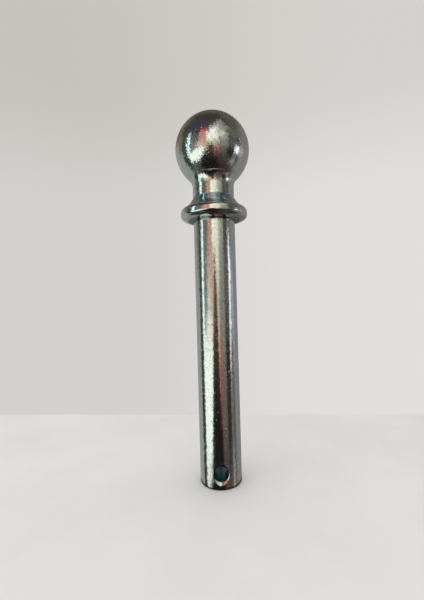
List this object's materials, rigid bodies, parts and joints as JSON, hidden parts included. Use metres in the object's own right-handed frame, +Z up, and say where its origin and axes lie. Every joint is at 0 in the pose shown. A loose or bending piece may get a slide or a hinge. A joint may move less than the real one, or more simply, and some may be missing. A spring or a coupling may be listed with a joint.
{
  "type": "hitch ball pin",
  "caption": "Drop-in towing ball pin: a ball on a short neck, a flared load collar and a plain round shank with a countersunk cross hole for a retaining clip.",
  "frame": {"origin": "centre of the shank's flat bottom face", "axes": "+Z up the pin's axis, from the shank's bottom face to the top of the ball; the cross hole runs along Y"},
  "size_m": [0.05, 0.05, 0.249],
  "materials": {
    "ball_zinc": "bright zinc plate on polished steel, fine handling scratches",
    "collar_zinc": "bright zinc plate on turned steel",
    "shank_zinc": "bright zinc plate on ground bar, faint marks round it, a fine grain and small pits"
  },
  "bodies": {
    "root": {"ball_head": "ball_zinc", "collar": "collar_zinc", "shank": "shank_zinc"}
  },
  "joints": []
}
